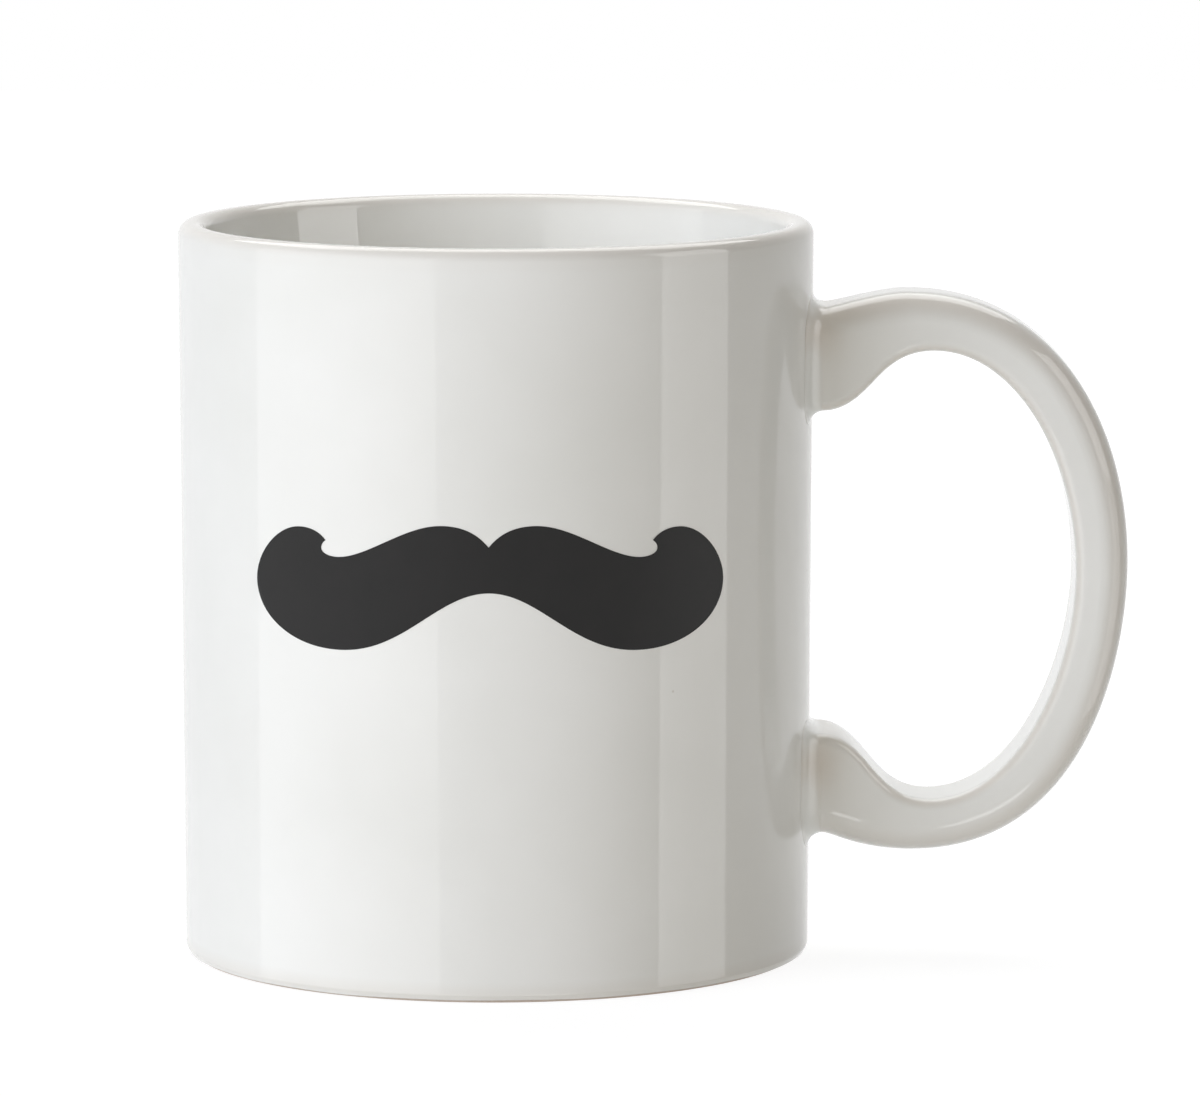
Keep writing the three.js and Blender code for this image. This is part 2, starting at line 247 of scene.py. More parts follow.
handle = {
    "width": 12.6,
    "rootFlare": 4.0,  # how much wider it is on the wall
    "flareReach": 12.0,  # how far off the wall the flare has faded out
    "outerEdge": 3.8,
    "innerEdge": 1.4,
    "reach": 40.7,  # rim to the outside of the bow
    "bowStrap": 6.9,
    "outerBowLift": 1.1,
    "innerBowLift": 0.1,
    "upperRoot": (84.2, 71.0),  # heights of the outer and inner face where they meet the wall
    "lowerRoot": (15.7, 28.9),
    "fillet": 1.8,
    "film": 0.3,  # slip left between the wall and the end of the strap
    "hairline": 0.02,
    "upperCrest": {"rise": 1.9, "reach": 12.1, "strap": 7.5, "innerReach": 15.4},
    "lowerCrest": {"drop": 2.4, "reach": 12.9, "strap": 6.9, "innerReach": 15.1},
    "outerFullness": (0.08, 0.36, 0.69, 0.49, 0.33, 0.82, 0.64, 0.08),
    "innerFullness": (0.4, 0.55, 0.56, 0.53, 0.41, 0.64, 0.55, 0.4),
    "spanSteps": 40,
    "edgeSteps": 9,
    "flatSteps": 9,
    "filletSteps": 16,
    "capSteps": 6,
    "pocketSteps": 3,
    "neckBend": 0.5,  # the share of the first and last span that bends with the wall
}


def cubic(a, b, c, d, share):
    # a cubic curve's points at shares from 0 to 1, by its four control points
    share = np.asarray(share)[:, None]
    rest = 1 - share
    return rest**3 * a + 3 * rest**2 * share * b + 3 * rest * share**2 * c + share**3 * d


def railPoints(points, fullness):
    # one edge of the strap: four cubic spans through neck, crest, bow, lower crest and neck; the curve
    # runs level through necks and crests and upright through the bow, and fullness is how far each
    # control point stands off its end, as a share of the span
    ways = np.array([(1, 0), (1, 0), (0, 1), (1, 0), (1, 0)])
    share = np.linspace(0, 1, handle["spanSteps"] + 1)
    spans = []
    for k, (start, end) in enumerate(zip(points[:-1], points[1:])):
        run = end - start
        leave = start + run * ways[k] * fullness[2 * k]
        arrive = end - run * ways[k + 1] * fullness[2 * k + 1]
        spans.append(cubic(start, leave, arrive, end, share)[1:])
    return np.vstack(spans)[:-1]


def strapWidth(off):
    # the width at a distance off the wall: the flare fades by the cube of what is left of its reach
    return handle["width"] + handle["rootFlare"] * np.clip(1 - off / handle["flareReach"], 0, None) ** 3


def strapSection(depth, width, grow):
    # the strap's rounded oblong at each ring: depth from the inner face, and across; all corners
    # grow alike
    depth, width, grow = [np.asarray(value, float)[:, None] for value in (depth, width, grow)]
    quarter = np.linspace(0, np.pi / 2, handle["edgeSteps"] + 1)[None, :]
    corners = [("outerEdge", 1, 0), ("innerEdge", 1, 1), ("innerEdge", -1, 2), ("outerEdge", -1, 3)]
    arcs = []
    for edge, side, quarterTurns in corners:
        radius = handle[edge]
        angle = quarter + quarterTurns * np.pi / 2
        middle = depth - radius if edge == "outerEdge" else radius + 0 * depth
        along = middle + (radius + grow) * np.cos(angle)
        across = side * (width / 2 - radius) + (radius + grow) * np.sin(angle)
        arcs.append(np.stack([along, across], axis=-1))
    share = crowded(handle["flatSteps"])[1:-1][None, :, None]
    flats = [a[:, -1:] + (b[:, :1] - a[:, -1:]) * share for a, b in zip(arcs, arcs[1:] + arcs[:1])]
    return np.concatenate([part for pair in zip(arcs, flats) for part in pair], axis=1)


def rootRings(root, grow, rise, share=1.0):
    # the strap's outline laid on the curved wall, ring by ring: grown all round, risen off the wall's
    # glazed face, and drawn in towards its middle by a share
    outer, inner = root
    grow, rise, share = np.broadcast_arrays(np.atleast_1d(grow), rise, share)
    section = strapSection(np.full(len(grow), abs(outer - inner)), strapWidth(rise), grow)
    y = section[..., 1] * share[:, None]
    middle = (outer + inner) / 2
    z = middle + (inner + np.sign(outer - inner) * section[..., 0] - middle) * share[:, None]
    return np.stack([np.sqrt((wallRadius(z) + rise[:, None]) ** 2 - y**2), y, z], axis=-1)


def capRings(root, grow, rise):
    # rings from the middle of the strap's end out to its outline
    return rootRings(root, grow, rise, np.linspace(0, 1, handle["capSteps"] + 1))


def filletRings(root, inset, hairline=0.0):
    # the fillet from the wall up to the strap: a quarter circle in (grow, rise), inset below the
    # glazed face, that stops a hairline off both
    fillet = handle["fillet"]
    radius = fillet + inset
    start = np.arccos((fillet - hairline) / radius)
    stop = np.arcsin(1 - hairline / radius)
    angle = np.linspace(start, stop, handle["filletSteps"] + 1)
    return rootRings(root, fillet - radius * np.sin(angle), fillet - radius * np.cos(angle))


def strapRings(inset):
    # sections from the inner rail to the outer one; near the necks they bend with the wall behind them
    depthWay = outerRail - innerRail
    depth = np.linalg.norm(depthWay, axis=1, keepdims=True)
    off = (outerRail[:, 0] + innerRail[:, 0]) / 2 - cup["rimRadius"]
    section = strapSection(depth[:, 0], strapWidth(off), np.full(len(depth), -inset))
    point = innerRail[:, None] + (depthWay / depth)[:, None] * section[..., :1]
    y = section[..., 1]
    spans = len(handle["innerFullness"]) // 2
    along = np.linspace(0, spans, len(depth) + 2)[1:-1]
    bend = np.clip(1 - np.minimum(along, spans - along) / handle["neckBend"], 0, 1)
    bend = (bend**2 * (3 - 2 * bend))[:, None]
    neckRadius = cup["rimRadius"] + handle["fillet"]
    x = point[..., 0] + bend * (np.sqrt(neckRadius**2 - y**2) - neckRadius)
    return np.stack([x, y, point[..., 1]], axis=-1)


def coatRings(inset):
    # the handle's coat from the upper wall to the lower one: fillet, strap and fillet
    upper = filletRings(handle["upperRoot"], inset)
    lower = filletRings(handle["lowerRoot"], inset)
    return np.vstack([upper, strapRings(inset), lower[::-1]])


def clayRings():
    # the strap's clay under its coat, with each end closed on its film of slip
    glaze, film = cup["glaze"], handle["film"]
    rise = np.linspace(film, handle["fillet"], handle["pocketSteps"] + 1)[1:]
    upper, lower = [
        np.vstack([capRings(root, -glaze, film), rootRings(root, -glaze, rise)])
        for root in (handle["upperRoot"], handle["lowerRoot"])
    ]
    return np.vstack([upper, strapRings(glaze), lower[::-1]])


def slipRings(root):
    # slip under the end of the strap and wiped round it: the foot on the wall, the fillet, and the
    # pocket that holds the clay
    glaze, film, hairline = cup["glaze"], handle["film"], handle["hairline"]
    fillet = handle["fillet"]
    radius = fillet + glaze
    footGrow = fillet - np.sqrt(radius**2 - (fillet - hairline) ** 2)
    onWall = capRings(root, footGrow, hairline)
    pocket = capRings(root, hairline - glaze, film - hairline)
    return np.vstack([onWall, filletRings(root, glaze, hairline)[1:], pocket[::-1]])


def neck(z):
    # where a rail starts: at a height, a fillet's width off the wall
    return np.array([wallRadius(z) + handle["fillet"], z])


upperCrest, lowerCrest = handle["upperCrest"], handle["lowerCrest"]
crestTop = handle["upperRoot"][0] + upperCrest["rise"]
crestBottom = handle["lowerRoot"][0] - lowerCrest["drop"]
bowMiddle = (crestTop + crestBottom) / 2
rim = cup["rimRadius"]
outerRail = railPoints(
    [
        neck(handle["upperRoot"][0]),
        np.array([rim + upperCrest["reach"], crestTop]),
        np.array([rim + handle["reach"], bowMiddle + handle["outerBowLift"]]),
        np.array([rim + lowerCrest["reach"], crestBottom]),
        neck(handle["lowerRoot"][0]),
    ],
    handle["outerFullness"],
)
innerRail = railPoints(
    [
        neck(handle["upperRoot"][1]),
        np.array([rim + upperCrest["innerReach"], crestTop - upperCrest["strap"]]),
        np.array([rim + handle["reach"] - handle["bowStrap"], bowMiddle + handle["innerBowLift"]]),
        np.array([rim + lowerCrest["innerReach"], crestBottom + lowerCrest["strap"]]),
        neck(handle["lowerRoot"][1]),
    ],
    handle["innerFullness"],
)

handlePoints = np.vstack([coatRings(0.0), coatRings(coatDepth)[::-1]])
# glaze runs over the strap, with painted shade: the outer edges' tint is partly painted shade, and the
# corner hump is painted shade
edgeRunsAndShade = {
    "upperEdge": 1.0,  # how strongly the strap's outer edges are tinted at the upper root: glaze run thin, with painted shade
    "lowerEdge": 0.3,  # and at the lower one
    "innerEdge": 0.6,
    "cornerShadeOff": 1.2,  # where the painted shade sits in the corner of each root: off the wall
    "cornerShadeReach": 2.8,
    "cornerShadeDrop": (2.6, 3.5),  # and below the upper side of the upper and of the lower root
    "cornerShadeHeight": 3.9,
}


def handleDepthAndShade(points):
    # glaze depth over the handle: pooled along the fillets by half a sine, thin over the edges by a
    # squared sine of the turn, which fades down the strap on the outer ones, where the tint is partly
    # painted shade, and painted shade in a hump at each root's upper corner
    rings = len(points) // 2
    pool = np.sin(np.linspace(0, np.pi, handle["filletSteps"] + 1))
    pool = np.concatenate([pool, np.zeros(rings - 2 * len(pool)), pool])
    edge = np.sin(np.linspace(0, np.pi, handle["edgeSteps"] + 1)) ** 2
    edge = np.append(edge, np.zeros(handle["flatSteps"] - 1))
    outer = np.concatenate([edge, 0 * edge, 0 * edge, edge])
    inner = np.concatenate([0 * edge, edge, edge, 0 * edge])
    # thin glaze with painted shade: the outer edges' tint fades from the upper root to the lower one
    run = np.linspace(edgeRunsAndShade["upperEdge"], edgeRunsAndShade["lowerEdge"], rings)
    pool, run = [np.concatenate([value, value[::-1]])[:, None] for value in (pool, run)]
    off = np.hypot(points[..., 0], points[..., 1]) - cup["rimRadius"]
    # painted shade: a warm dark hump under each root's upper corner, off the wall
    tops = np.array([handle["upperRoot"][0], handle["lowerRoot"][1]])
    corners = tops - edgeRunsAndShade["cornerShadeDrop"]
    below = sum(bump(points[..., 2], cornerShade, edgeRunsAndShade["cornerShadeHeight"]) for cornerShade in corners)
    cornerShade = bump(off, edgeRunsAndShade["cornerShadeOff"], edgeRunsAndShade["cornerShadeReach"]) * below
    thin = (run * outer + edgeRunsAndShade["innerEdge"] * inner) * (1 - pool)
    return pool * (1 - cornerShade) - np.maximum(thin, cornerShade)


handleMarks = {"glazeDepthAndShade": handleDepthAndShade(handlePoints)}
handleCoat = frameSkin("handleCoat", handlePoints, True, True, handleMarks)
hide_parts("handle_glaze")

strap = frameSkin("clayStrap", clayRings(), False, True)
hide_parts("clay_handle")
slipJoints = []
for end in ("upper", "lower"):
    rings = slipRings(handle[end + "Root"])
    joint = frameSkin(end + "SlipJoint", rings, False, True, crease=sharpTurn)
    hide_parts(end + "_slip_joint")
    slipJoints.append(joint)

moustache = {
    "width": 58.8,
    "height": 15.5,
    "middle": 52.7,  # height of its middle on the wall
    "shift": -0.45,
    "readingAngle": np.radians(7.6),  # the eye that it reads level to is this far above level
    "lift": 0.01,
    "ink": 0.03,
    "pieceSteps": 24,
    "acrossSteps": 24,
    "wallPasses": 6,  # each pass brings the heights on the wall nearer
}
# the right half, in a box one unit high and one half width across:
# each row is a curve's other three points
upperEdge = [
    ((0, 0.826),),
    ((0.044, 0.929), (0.105, 1), (0.207, 1)),  # brow
    ((0.357, 1), (0.517, 0.752), (0.639, 0.752)),  # dip
    ((0.682, 0.752), (0.716, 0.786), (0.716, 0.827)),  # hollow under the curl
    ((0.716, 0.852), (0.709, 0.874), (0.697, 0.887)),  # tip of the curl
    ((0.718, 0.945), (0.76, 1), (0.818, 1)),  # top of the curl
    ((0.912, 1), (1, 0.794), (1, 0.587)),  # outer end
]
lowerEdge = [
    ((0, 0.458),),
    ((0.211, 0.458), (0.355, 0), (0.614, 0)),  # lowest point
    ((0.837, 0), (1, 0.271), (1, 0.587)),  # outer end
]
facing = [0, 0.35, 1, 1.5, 2, 2, 2]  # how far along the lower edge each knot of the upper edge faces


def edgePoints(edge, places):
    # points along a chain of cubic curves; a place's whole part picks the curve and the rest is its
    # share
    flat = np.array([point for curve in edge for point in curve])
    knots = np.stack([flat[k : len(flat) - 3 + k : 3] for k in range(4)])
    curve = np.minimum(places.astype(int), knots.shape[1] - 1)
    a, b, c, d = knots[:, curve]
    return cubic(a, b, c, d, places - curve)


def printedMoustache():
    # straight lines are ruled from the upper edge to the facing point of the lower one, and the sheet
    # is carried along the reading direction onto the wall: its height there solves
    # v = y sin(angle) + z cos(angle); the ink's back follows its face
    curves = len(upperEdge) - 1
    places = np.linspace(0, curves, curves * moustache["pieceSteps"] + 1)
    upper = edgePoints(upperEdge, places)
    lower = edgePoints(lowerEdge, np.interp(places, np.arange(len(facing)), facing))
    across = np.linspace(0, 1, moustache["acrossSteps"] + 1)[None, :, None]
    half = upper[:, None] + (lower - upper)[:, None] * across
    sheet = np.concatenate([half[:0:-1] * (-1, 1), half])
    lean = moustache["readingAngle"]
    u = moustache["shift"] + sheet[..., 0] * moustache["width"] / 2
    level = moustache["middle"] * np.cos(lean) - wallRadius(moustache["middle"]) * np.sin(lean)
    v = level + (sheet[..., 1] - 0.5) * moustache["height"]
    faces = []
    for lift in (moustache["lift"] + moustache["ink"], moustache["lift"]):
        z = np.full_like(u, moustache["middle"])
        for attempt in range(moustache["wallPasses"]):
            y = -np.sqrt((wallRadius(z) + lift) ** 2 - u**2)
            z = (v - y * np.sin(lean)) / np.cos(lean)
        faces.append(np.stack([u, y, z], axis=-1))
    return np.concatenate([faces[0], faces[1][:, ::-1]], axis=1)


figure = frameSkin("moustachePrint", printedMoustache(), False, True, crease=sharpTurn)
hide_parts("moustache_print")


def linear(hexColour):
    # sRGB hex to linear RGBA
    part = np.array([int(hexColour[k : k + 2], 16) for k in (1, 3, 5)]) / 255
    part = np.where(part <= 0.04045, part / 12.92, ((part + 0.055) / 1.055) ** 2.4)
    return (*part.tolist(), 1.0)


def addNode(tree, kind, inputs=None, **settings):
    # a node with its settings; an input is a value or another node's output
    node = tree.nodes.new(kind)
    for key, value in settings.items():
        setattr(node, key, value)
    for socket, value in (inputs or {}).items():
        if isinstance(value, bpy.types.NodeSocket):
            tree.links.new(value, node.inputs[socket])
        else:
            node.inputs[socket].default_value = value
    return node


def newMaterial(name):
    # a material and its empty node tree
    material = bpy.data.materials.new(name)
    material.use_nodes = True
    material.node_tree.nodes.clear()
    return material, material.node_tree


def perMm(size):
    # a texture scale that gives features of this size in mm
    return 1000 / size


glazeLook = {
    "white": "#f5f5f2",
    "cloud": "#eeeeea",  # where the coat is a little thinner
    "thin": "#e4ded5",  # clay showing through thin glaze over edges, also used to paint shade at the lip, the strap's outer edges and the roots' corners
    "pool": "#f3f6f4",
    "speck": "#a99b88",
    "ior": 1.5,
    "roughness": 0.04,
    "roughnessSpread": 0.015,
    "roughnessRange": (0.3, 0.7),  # between these values of the cloud noise
    "cloudSize": 34.0,
    "cloudRange": (0.35, 0.7),
    "poolShare": 0.5,
    "ripple": 11.0,  # width of the slow ripples left by dipping, mm
    "rippleHeight": 0.004,
    "speckSpacing": 16.0,
    "speckRim": (0.018, 0.008),  # from its edge to its full tone, as shares of the spacing
    "speckShare": 0.5,
}


def whiteGlaze():
    # tin-white stoneware glaze, dipped and fired glossy: hard even gloss with slow ripples, a faint
    # cloudiness, warmer where it broke thin over edges and where shade is painted in at the lip, the
    # strap's edges and the roots' corners, and a rare iron speck
    material, tree = newMaterial("dippedWhiteGlaze")
    cloudLow, cloudHigh = glazeLook["cloudRange"]
    glossLow, glossHigh = glazeLook["roughnessRange"]
    rimStart, rimEnd = glazeLook["speckRim"]
    place = addNode(tree, "ShaderNodeTexCoord").outputs["Object"]
    cloud = addNode(
        tree,
        "ShaderNodeTexNoise",
        {"Vector": place, "Scale": perMm(glazeLook["cloudSize"]), "Detail": 3.0, "Roughness": 0.5},
    )
    clouds = addNode(
        tree,
        "ShaderNodeMapRange",
        {"Value": cloud.outputs["Fac"], "From Min": cloudLow, "From Max": cloudHigh},
    )
    white = addNode(
        tree,
        "ShaderNodeMix",
        {
            0: clouds.outputs["Result"],
            6: linear(glazeLook["white"]),
            7: linear(glazeLook["cloud"]),
        },
        data_type="RGBA",
    )
    # glaze depth also carries painted shade: below 0 it mixes in the thin colour
    depth = addNode(tree, "ShaderNodeAttribute", attribute_name="glazeDepthAndShade").outputs["Fac"]
    thinness = addNode(
        tree,
        "ShaderNodeMapRange",
        {"Value": depth, "From Min": 0.0, "From Max": -1.0},
    )
    thinned = addNode(
        tree,
        "ShaderNodeMix",
        {0: thinness.outputs["Result"], 6: white.outputs[2], 7: linear(glazeLook["thin"])},
        data_type="RGBA",
    )
    pooling = addNode(
        tree,
        "ShaderNodeMapRange",
        {"Value": depth, "To Max": glazeLook["poolShare"]},
    )
    pooled = addNode(
        tree,
        "ShaderNodeMix",
        {0: pooling.outputs["Result"], 6: thinned.outputs[2], 7: linear(glazeLook["pool"])},
        data_type="RGBA",
    )
    cells = addNode(
        tree,
        "ShaderNodeTexVoronoi",
        {"Vector": place, "Scale": perMm(glazeLook["speckSpacing"])},
    )
    specks = addNode(
        tree,
        "ShaderNodeMapRange",
        {
            "Value": cells.outputs["Distance"],
            "From Min": rimStart,
            "From Max": rimEnd,
            "To Max": glazeLook["speckShare"],
        },
    )
    coloured = addNode(
        tree,
        "ShaderNodeMix",
        {0: specks.outputs["Result"], 6: pooled.outputs[2], 7: linear(glazeLook["speck"])},
        data_type="RGBA",
    )
    gloss = addNode(
        tree,
        "ShaderNodeMapRange",
        {
            "Value": cloud.outputs["Fac"],
            "From Min": glossLow,
            "From Max": glossHigh,
            "To Min": glazeLook["roughness"] - glazeLook["roughnessSpread"],
            "To Max": glazeLook["roughness"] + glazeLook["roughnessSpread"],
        },
    )
    ripple = addNode(
        tree,
        "ShaderNodeTexNoise",
        {"Vector": place, "Scale": perMm(glazeLook["ripple"]), "Detail": 1.0},
    )
    relief = addNode(
        tree,
        "ShaderNodeBump",
        {"Height": ripple.outputs["Fac"], "Distance": glazeLook["rippleHeight"] / 1000},
    )
    shader = addNode(
        tree,
        "ShaderNodeBsdfPrincipled",
        {
            "Base Color": coloured.outputs[2],
            "Roughness": gloss.outputs["Result"],
            "Normal": relief.outputs["Normal"],
            "IOR": glazeLook["ior"],
        },
    )
    addNode(tree, "ShaderNodeOutputMaterial", {"Surface": shader.outputs["BSDF"]})
    return material


clayLook = {
    "clay": "#ddd0c6",
    "shade": "#cbbcae",
    "speck": "#8d7a68",
    "grit": 0.5,  # drawn coarser than the real 0.1 mm grit, so that it shows
    "gritHeight": 0.03,
    "cloudSize": 9.0,
    "speckSpacing": 3.0,
    "speckRim": (0.08, 0.04),
    "speckShare": 0.7,
    "ior": 1.5,
    "roughness": (0.74, 0.92),
}


def bareStoneware(name, look):
    # unglazed stoneware, turned and sponged: dry and matt, sandy to the eye, with small iron specks
    material, tree = newMaterial(name)
    rimStart, rimEnd = look["speckRim"]
    smoothest, roughest = look["roughness"]
    place = addNode(tree, "ShaderNodeTexCoord").outputs["Object"]
    cloud = addNode(
        tree,
        "ShaderNodeTexNoise",
        {"Vector": place, "Scale": perMm(look["cloudSize"]), "Detail": 4.0},
    )
    tone = addNode(
        tree,
        "ShaderNodeMix",
        {0: cloud.outputs["Fac"], 6: linear(look["clay"]), 7: linear(look["shade"])},
        data_type="RGBA",
    )
    cells = addNode(
        tree,
        "ShaderNodeTexVoronoi",
        {"Vector": place, "Scale": perMm(look["speckSpacing"])},
    )
    specks = addNode(
        tree,
        "ShaderNodeMapRange",
        {
            "Value": cells.outputs["Distance"],
            "From Min": rimStart,
            "From Max": rimEnd,
            "To Max": look["speckShare"],
        },
    )
    coloured = addNode(
        tree,
        "ShaderNodeMix",
        {0: specks.outputs["Result"], 6: tone.outputs[2], 7: linear(look["speck"])},
        data_type="RGBA",
    )
    grit = addNode(
        tree,
        "ShaderNodeTexNoise",
        {"Vector": place, "Scale": perMm(look["grit"]), "Detail": 2.0},
    )
    dryness = addNode(
        tree,
        "ShaderNodeMapRange",
        {"Value": grit.outputs["Fac"], "To Min": smoothest, "To Max": roughest},
    )
    relief = addNode(
        tree,
        "ShaderNodeBump",
        {"Height": grit.outputs["Fac"], "Distance": look["gritHeight"] / 1000},
    )
    shader = addNode(
        tree,
        "ShaderNodeBsdfPrincipled",
        {
            "Base Color": coloured.outputs[2],
            "Roughness": dryness.outputs["Result"],
            "Normal": relief.outputs["Normal"],
            "IOR": look["ior"],
        },
    )
    addNode(tree, "ShaderNodeOutputMaterial", {"Surface": shader.outputs["BSDF"]})
    return material


slipLook = clayLook | {"clay": "#e3dbd0", "shade": "#d8cdbf", "grit": 0.25, "gritHeight": 0.01}
inkLook = {
    "ink": "#282828",
    "worn": "#2e2d2d",
    "mottle": 5.0,
    "grain": 0.35,  # drawn coarser than the printing screen's mesh, so that it shows
    "grainHeight": 0.004,
    "ior": 1.45,
    "specular": 0.18,  # the gloss is broken up by the print's pores
    "roughness": (0.44, 0.56),
}


def firedInk():
    # ceramic print fired on the glaze: dense dark grey, satin where the glaze is glossy, a little
    # uneven in tone
    material, tree = newMaterial("firedDarkInk")
    smoothest, roughest = inkLook["roughness"]
    place = addNode(tree, "ShaderNodeTexCoord").outputs["Object"]
    mottle = addNode(
        tree,
        "ShaderNodeTexNoise",
        {"Vector": place, "Scale": perMm(inkLook["mottle"]), "Detail": 5.0},
    )
    tone = addNode(
        tree,
        "ShaderNodeMix",
        {0: mottle.outputs["Fac"], 6: linear(inkLook["ink"]), 7: linear(inkLook["worn"])},
        data_type="RGBA",
    )
    grain = addNode(
        tree,
        "ShaderNodeTexNoise",
        {"Vector": place, "Scale": perMm(inkLook["grain"]), "Detail": 1.0},
    )
    satin = addNode(
        tree,
        "ShaderNodeMapRange",
        {"Value": grain.outputs["Fac"], "To Min": smoothest, "To Max": roughest},
    )
    relief = addNode(
        tree,
        "ShaderNodeBump",
        {"Height": grain.outputs["Fac"], "Distance": inkLook["grainHeight"] / 1000},
    )
    shader = addNode(
        tree,
        "ShaderNodeBsdfPrincipled",
        {
            "Base Color": tone.outputs[2],
            "Roughness": satin.outputs["Result"],
            "Normal": relief.outputs["Normal"],
            "IOR": inkLook["ior"],
            "Specular IOR Level": inkLook["specular"],
        },
    )
    addNode(tree, "ShaderNodeOutputMaterial", {"Surface": shader.outputs["BSDF"]})
    return material


glazeMaterial = whiteGlaze()
clayMaterial = bareStoneware("bareStoneware", clayLook)
slipMaterial = bareStoneware("firedSlip", slipLook)
inkMaterial = firedInk()
finishes = {
    cupCoat: glazeMaterial,
    baseCoat: glazeMaterial,
    handleCoat: glazeMaterial,
    body: clayMaterial,
    figure: inkMaterial,
    strap: clayMaterial,
    slipJoints[0]: slipMaterial,
    slipJoints[1]: slipMaterial,
}
for piece, material in finishes.items():
    piece.data.materials.append(material)
print("materials:", len(set(finishes.values())))

studio = {
    "floor": "#c8c7c4",
    "tableGlow": 0.2,  # a milky table lit from below
    "floorSize": 3.0,
    "floorDrop": 0.0001,  # keeps the floor clear of the foot ring, metres
    "aimHeight": 0.05,  # what the lamps face, on the cup's axis, metres
    "cardDistance": 0.75,
    "backdrop": "#ffffff",
    "shadowFloor": 0.9,  # how light the floor stays in the deepest shadow, as the camera sees it
    "shadowWeight": 0.2,
    "shadowReach": (0.15, 0.5),  # the floor whitens into the backdrop between these distances, metres
}
# lamps face the cup's middle: azimuth from the camera's side towards the handle, and elevation, in
# degrees; a lamp that isn't seen stays out of the glaze's reflections, and a card that doesn't light is
# only seen in them
lamps = {
    "keyLamp": {
        "azimuth": -50,
        "elevation": 15,
        "distance": 3.0,
        "size": (2.0, 2.0),
        "radiance": 4.2,
        "tint": "#f0f5ff",
        "seen": False,
    },
    "frontFill": {
        "azimuth": 10,
        "elevation": 17,
        "distance": 3.0,
        "size": (1.6, 1.4),
        "radiance": 2.1,
        "tint": "#fff3df",
        "seen": False,
    },
    "leftCard": {"azimuth": -57, "elevation": 22, "size": (1.11, 0.42), "radiance": 0.95},
    "leftCardFoot": {
        "azimuth": -57,
        "elevation": -10,
        "size": (1.11, 0.45),
        "radiance": 0.85,
        "lights": False,
    },
    "sideStrip": {
        "azimuth": 76,
        "elevation": 22,
        "size": (0.4, 0.42),
        "radiance": 2.6,
        "lights": False,
    },
    "sideStripFoot": {"azimuth": 76, "elevation": -10, "size": (0.4, 0.45), "radiance": 1.33},
    "bowGleam": {
        "azimuth": 20,
        "elevation": -29,
        "size": (0.2, 0.12),
        "radiance": 2.8,
        "lights": False,
    },
    "topBox": {"azimuth": 180, "elevation": 62, "size": (1.0, 0.5), "radiance": 2.95},
}
cupMiddle = np.array([axisX / 1000, 0, studio["aimHeight"]])


def addLamp(
    name,
    azimuth,
    elevation,
    size,
    radiance,
    distance=studio["cardDistance"],
    seen=True,
    lights=True,
    tint="#ffffff",
):
    # an area lamp at a distance from the cup's middle, turned to face it
    lamp = bpy.data.lights.new(name, "AREA")
    lamp.shape = "RECTANGLE"
    lamp.size, lamp.size_y = size
    lamp.energy = radiance * np.pi * size[0] * size[1]
    lamp.color = linear(tint)[:3]
    holder = bpy.data.objects.new(name, lamp)
    turn, rise = np.radians((azimuth, elevation))
    way = np.array([np.sin(turn) * np.cos(rise), -np.cos(turn) * np.cos(rise), np.sin(rise)])
    holder.location = cupMiddle + distance * way
    holder.rotation_euler = (np.pi / 2 - rise, 0, turn)
    holder.visible_camera = False
    holder.visible_glossy = seen
    holder.visible_diffuse = lights
    bpy.context.scene.collection.objects.link(holder)


for name, lamp in lamps.items():
    addLamp(name, **lamp)


def seenRays(tree):
    # 1 for rays that show the background: straight to the camera, in gloss or through glass
    path = addNode(tree, "ShaderNodeLightPath")
    gloss = addNode(
        tree,
        "ShaderNodeMath",
        {0: path.outputs["Is Camera Ray"], 1: path.outputs["Is Glossy Ray"]},
        operation="MAXIMUM",
    )
    seen = addNode(
        tree,
        "ShaderNodeMath",
        {0: gloss.outputs[0], 1: path.outputs["Is Transmission Ray"]},
        operation="MAXIMUM",
    )
    return seen.outputs[0]


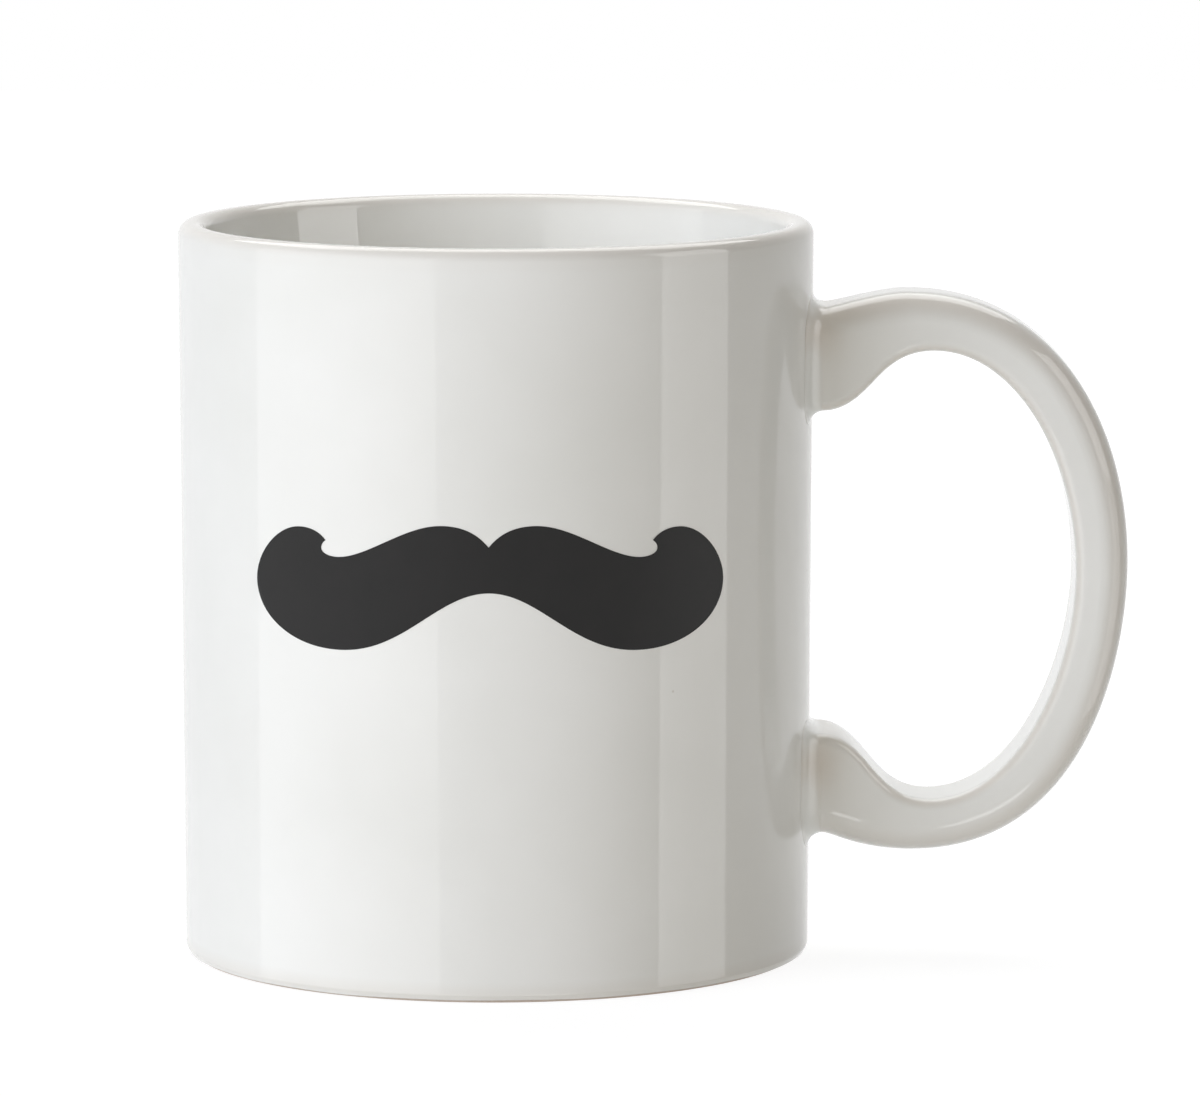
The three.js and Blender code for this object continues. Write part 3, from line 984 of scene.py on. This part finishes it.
def paleFloor():
    # a pale milky table, lit softly from below, that the camera sees as white paper with the mug's
    # shadow on it
    material, tree = newMaterial("paleFloor")
    top = addNode(tree, "ShaderNodeBsdfDiffuse", {"Color": linear(studio["floor"])})
    under = addNode(
        tree,
        "ShaderNodeEmission",
        {"Color": linear(studio["backdrop"]), "Strength": studio["tableGlow"]},
    )
    table = addNode(tree, "ShaderNodeAddShader", {0: top.outputs[0], 1: under.outputs[0]})
    shade = addNode(
        tree,
        "ShaderNodeBsdfDiffuse",
        {"Color": (studio["shadowWeight"],) * 3 + (1,)},
    )
    place = addNode(tree, "ShaderNodeTexCoord").outputs["Object"]
    distance = addNode(tree, "ShaderNodeVectorMath", {0: place}, operation="LENGTH")
    near, far = studio["shadowReach"]
    whiteness = addNode(
        tree,
        "ShaderNodeMapRange",
        {
            "Value": distance.outputs["Value"],
            "From Min": near,
            "From Max": far,
            "To Min": studio["shadowFloor"],
            "To Max": 1.0,
        },
    )
    glow = addNode(
        tree,
        "ShaderNodeEmission",
        {"Color": linear(studio["backdrop"]), "Strength": whiteness.outputs["Result"]},
    )
    paper = addNode(tree, "ShaderNodeAddShader", {0: shade.outputs[0], 1: glow.outputs[0]})
    mixed = addNode(
        tree,
        "ShaderNodeMixShader",
        {0: seenRays(tree), 1: table.outputs[0], 2: paper.outputs[0]},
    )
    addNode(tree, "ShaderNodeOutputMaterial", {"Surface": mixed.outputs[0]})
    return material


half = studio["floorSize"] / 2
floorMesh = bpy.data.meshes.new("floor")
sides = [(-half, -half), (half, -half), (half, half), (-half, half)]
floorMesh.from_pydata([(x, y, -studio["floorDrop"]) for x, y in sides], [], [(0, 1, 2, 3)])
floorMesh.materials.append(paleFloor())
floor = bpy.data.objects.new("floor", floorMesh)
floor.visible_glossy = False  # the glaze mirrors the cards that reach below the table
bpy.context.scene.collection.objects.link(floor)

world = bpy.data.worlds.new("studio")
world.use_nodes = True
world.node_tree.nodes.clear()
paper = addNode(
    world.node_tree,
    "ShaderNodeBackground",
    {"Color": linear(studio["backdrop"]), "Strength": seenRays(world.node_tree)},
)
addNode(world.node_tree, "ShaderNodeOutputWorld", {"Surface": paper.outputs[0]})
bpy.context.scene.world = world
print("studio:", len(lamps), "lamps")

view = {
    "lens": 237.0,
    "sensor": 36.0,
    "place": (-0.00693, -1.0155, 0.1873),
    "pitch": 7.57,  # how far the camera looks down, degrees
}
lens = bpy.data.cameras.new("camera")
lens.lens = view["lens"]
lens.sensor_width = view["sensor"]
camera = bpy.data.objects.new("camera", lens)
camera.location = view["place"]
camera.rotation_euler = (np.radians(90 - view["pitch"]), 0, 0)
bpy.context.scene.collection.objects.link(camera)
bpy.context.scene.camera = camera
bpy.context.scene.view_settings.view_transform = "Standard"
